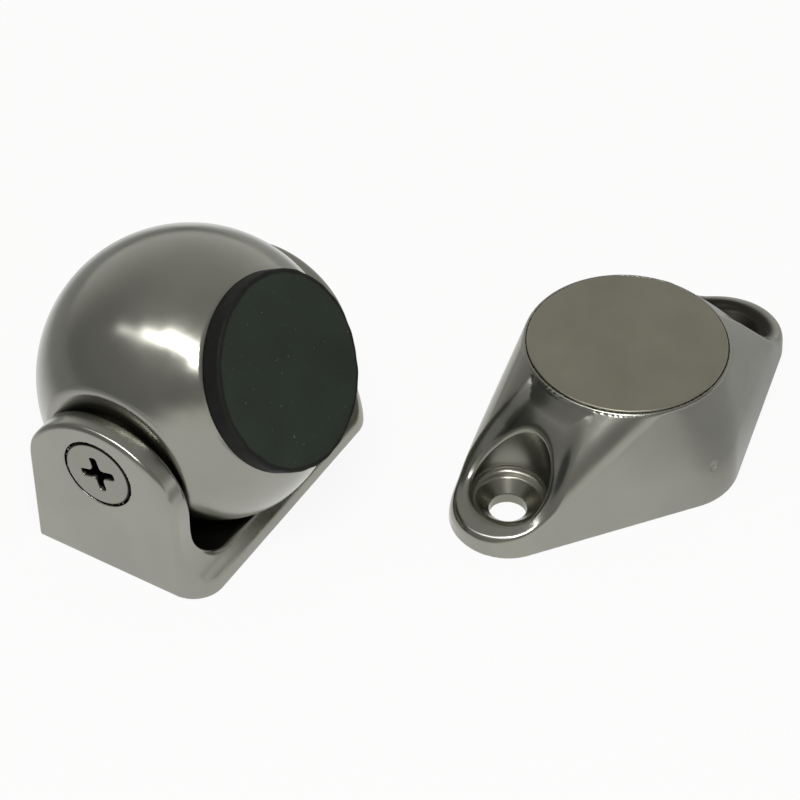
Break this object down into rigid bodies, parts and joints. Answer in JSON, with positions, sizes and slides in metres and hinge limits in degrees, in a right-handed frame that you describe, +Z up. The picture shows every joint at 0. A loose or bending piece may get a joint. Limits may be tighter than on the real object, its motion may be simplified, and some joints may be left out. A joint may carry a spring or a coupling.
{
  "type": "magnetic door catch",
  "caption": "Polished cast door catch: a ball head with a magnet under a rubber pad tilts in a yoke bracket, and a lozenge-shaped keeper carries a steel strike disc.",
  "frame": {"origin": "on the mounting face of the yoke, straight under the pivot", "axes": "+X along the pivot towards the right ear, -Y the way the pad looks, +Z up from the mounting face"},
  "size_m": [0.0972, 0.0936, 0.0411],
  "materials": {
    "cast_steel": "polished cast stainless steel",
    "screw_steel": "turned stainless steel, slightly dull",
    "cup_steel": "zinc-plated steel",
    "magnet_nickel": "nickel-plated magnet",
    "pad_rubber": "matte moulded rubber",
    "washer_plastic": "plain acetal",
    "strike_steel": "ground magnetic stainless steel, satin"
  },
  "bodies": {
    "yoke": {"yoke_bracket": "cast_steel", "keeper_body": "cast_steel", "strike_disc": "strike_steel"},
    "head": {"ball_head": "cast_steel", "magnet_cup": "cup_steel", "magnet_disc": "magnet_nickel", "rubber_pad": "pad_rubber", "left_pivot_screw": "screw_steel", "right_pivot_screw": "screw_steel", "magnet_screw": "screw_steel", "left_washer": "washer_plastic", "right_washer": "washer_plastic"}
  },
  "joints": [
    {"name": "head_tilt", "type": "hinge", "parent": "yoke", "child": "head", "pos_m": [0, 0, 0.0186], "axis": [-1, 0, 0], "range_deg": [-3, 30]}
  ]
}
